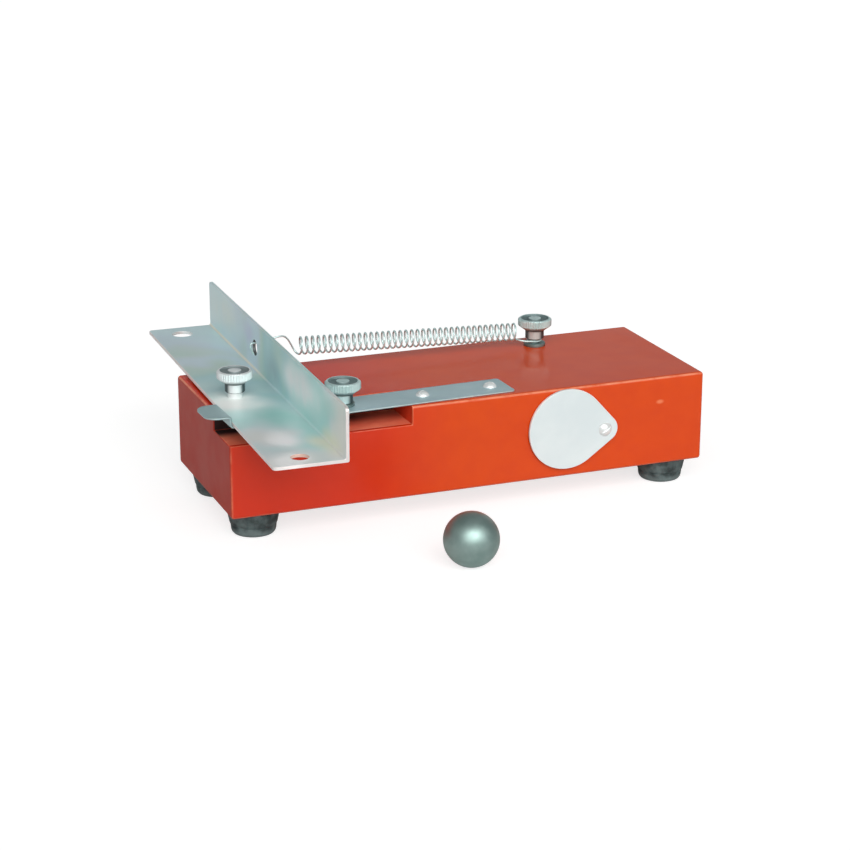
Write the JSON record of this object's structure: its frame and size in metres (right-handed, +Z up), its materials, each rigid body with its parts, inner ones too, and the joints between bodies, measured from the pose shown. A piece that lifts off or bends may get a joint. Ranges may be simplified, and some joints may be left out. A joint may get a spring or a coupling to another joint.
{
  "type": "falling bodies apparatus",
  "caption": "Spring-driven angle plate on a painted block that throws one ball sideways as it lets another drop, released by a steel leaf; with knurled screws, rubber feet and a ball store.",
  "frame": {"origin": "on the bench under the block's centre, in the plane of the feet's undersides", "axes": "+X along the block away from the swinging plate, +Y to the back, +Z up"},
  "size_m": [0.2456, 0.2283, 0.0809],
  "materials": {
    "red_paint": "orange-red gloss paint over wood",
    "foot_rubber": "matt dark grey rubber",
    "screw_steel": "bright plated steel",
    "zinc_plate": "satin zinc plating with a faint blue and yellow cast",
    "knurled_nickel": "bright nickel plating",
    "insert_brass": "plain brass",
    "leaf_steel": "blue-grey spring steel",
    "spring_wire": "bright spring wire",
    "cover_white": "pale grey-white enamel",
    "ball_steel": "dull polished steel"
  },
  "bodies": {
    "base": {"base_block": "red_paint", "foot_front_left": "foot_rubber", "foot_front_right": "foot_rubber", "foot_rear_left": "foot_rubber", "foot_rear_right": "foot_rubber", "foot_screws": "screw_steel", "plate_washer": "screw_steel", "pivot_bush": "screw_steel", "pivot_insert": "insert_brass", "strip_screws": "screw_steel", "post_collar": "screw_steel", "post_insert": "insert_brass", "cover_washer": "screw_steel", "cover_screw": "screw_steel"},
    "plate": {"swing_plate": "zinc_plate"},
    "pivot_screw": {"pivot_screw": "knurled_nickel"},
    "trigger": {"trigger_strip": "leaf_steel", "knob_collar": "screw_steel", "trigger_nut": "screw_steel"},
    "trigger_knob": {"trigger_knob": "knurled_nickel"},
    "spring": {"spring": "spring_wire"},
    "spring_post": {"spring_post": "knurled_nickel"},
    "cover": {"storage_cover": "cover_white"},
    "bench_ball": {"bench_ball": "ball_steel"},
    "stored_ball": {"stored_ball": "ball_steel"}
  },
  "joints": [
    {"name": "plate_swing", "type": "hinge", "parent": "base", "child": "plate", "pos_m": [-0.1042, -0.008, 0.0567], "axis": [0, 0, 1], "range_deg": [-55, 0], "deforming": ["spring"]},
    {"name": "trigger_press", "type": "hinge", "parent": "base", "child": "trigger", "pos_m": [-0.031, -0.031, 0.0559], "axis": [0.0349, -0.9994, 0], "range_deg": [0, 4], "stiffness_Nm_per_rad": 0.6, "springref_deg": -2.86, "deforming": ["trigger_strip"]},
    {"name": "trigger_knob_turn", "type": "hinge", "parent": "trigger", "child": "trigger_knob", "pos_m": [-0.06068, -0.03204, 0.0563], "axis": [0, 0, 1], "continuous": true},
    {"name": "pivot_screw_turn", "type": "hinge", "parent": "base", "child": "pivot_screw", "pos_m": [-0.1042, -0.008, 0.0555], "axis": [0, 0, 1], "continuous": true},
    {"name": "spring_post_turn", "type": "hinge", "parent": "base", "child": "spring_post", "pos_m": [0.0606, 0.0279, 0.0555], "axis": [0, 0, 1], "continuous": true},
    {"name": "spring_swivel", "type": "hinge", "parent": "base", "child": "spring", "pos_m": [0.0606, 0.0279, 0.0555], "axis": [0, 0, 1], "range_deg": [0, 16]},
    {"name": "cover_swing", "type": "hinge", "parent": "base", "child": "cover", "pos_m": [0.0651, -0.04275, 0.03375], "axis": [0, 1, 0], "range_deg": [-45, 215]},
    {"name": "stored_ball_roll", "type": "slide", "parent": "base", "child": "stored_ball", "axis": [0, -1, 0], "range_m": [0, 0.0302]},
    {"name": "bench_ball_roll", "type": "slide", "parent": "base", "child": "bench_ball", "axis": [1, 0, 0], "range_m": [-0.05, 0.08]}
  ],
  "couplings": [
    {"joint": "spring_swivel", "follows": "plate_swing", "ratio": -0.2891}
  ]
}
